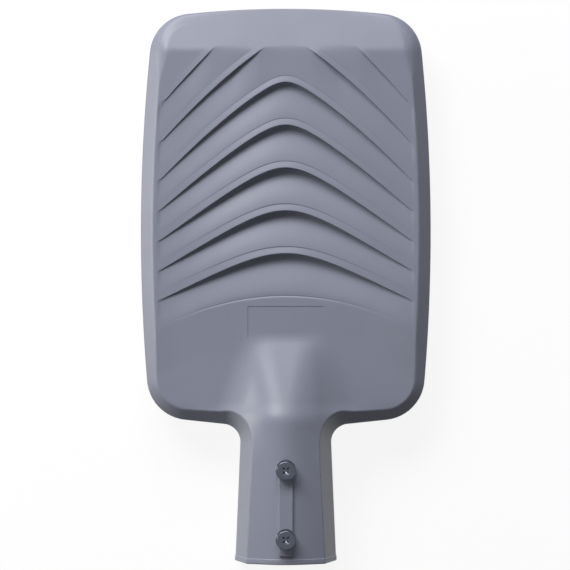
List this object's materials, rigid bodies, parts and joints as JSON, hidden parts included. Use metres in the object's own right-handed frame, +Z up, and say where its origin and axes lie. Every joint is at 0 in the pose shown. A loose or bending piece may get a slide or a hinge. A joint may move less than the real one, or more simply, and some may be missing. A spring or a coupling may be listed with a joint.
{
  "type": "led street light head",
  "caption": "Post-top or arm mounted LED street light head: louvred die-cast housing with a pole socket and clamp screws, glass-covered lamp chamber and a covered driver bay.",
  "frame": {"origin": "on the pole socket's axis, in the plane of its mouth", "axes": "+Z up out of the louvred face, +Y along the socket's axis towards the nose, +X to the right seen from above with the nose away"},
  "size_m": [0.232, 0.4414, 0.0801],
  "materials": {
    "coated_casting": "semi-gloss grey-blue powder coat on die-cast aluminium",
    "zinc_steel": "bright zinc plate",
    "clear_glass": "clear toughened",
    "silicone": "matt grey silicone",
    "stainless_steel": "satin stainless",
    "thermal_silicone": "soft matt pad",
    "board_white": "white solder mask on aluminium",
    "led_phosphor": "yellow phosphor",
    "lens_plastic": "clear moulded",
    "black_nylon": "fine moulded texture",
    "driver_case": "satin drawn case, potted",
    "surge_plastic": "moulded",
    "terminal_plastic": "moulded",
    "black_rubber": "matt",
    "brass_plate": "plain brass",
    "lead_insulation": "extruded insulation",
    "white_plastic": "moulded"
  },
  "bodies": {
    "root": {"block_screw": "stainless_steel", "board_screws": "stainless_steel", "breather_vent": "black_nylon", "clamp_screws": "zinc_steel", "clamp_washers": "zinc_steel", "cover_gasket": "silicone", "cover_screws": "stainless_steel", "driver_cover": "coated_casting", "driver_screws": "stainless_steel", "earth_screw": "brass_plate", "earth_washer": "brass_plate", "frame_screws": "stainless_steel", "gland_body": "black_nylon", "gland_cap": "black_nylon", "gland_locknut": "black_nylon", "gland_seal": "silicone", "glass_frame": "coated_casting", "glass_gasket": "silicone", "housing": "coated_casting", "lamp_glass": "clear_glass", "lamp_leads": "lead_insulation", "lamp_plug": "white_plastic", "led_board": "board_white", "led_chips": "led_phosphor", "led_driver": "driver_case", "lens_plate": "lens_plastic", "mains_leads": "lead_insulation", "surge_leads": "lead_insulation", "surge_protector": "surge_plastic", "surge_screw": "stainless_steel", "terminal_block": "terminal_plastic", "terminal_screws": "zinc_steel", "thermal_pad": "thermal_silicone", "wire_grommet": "black_rubber"}
  },
  "joints": []
}
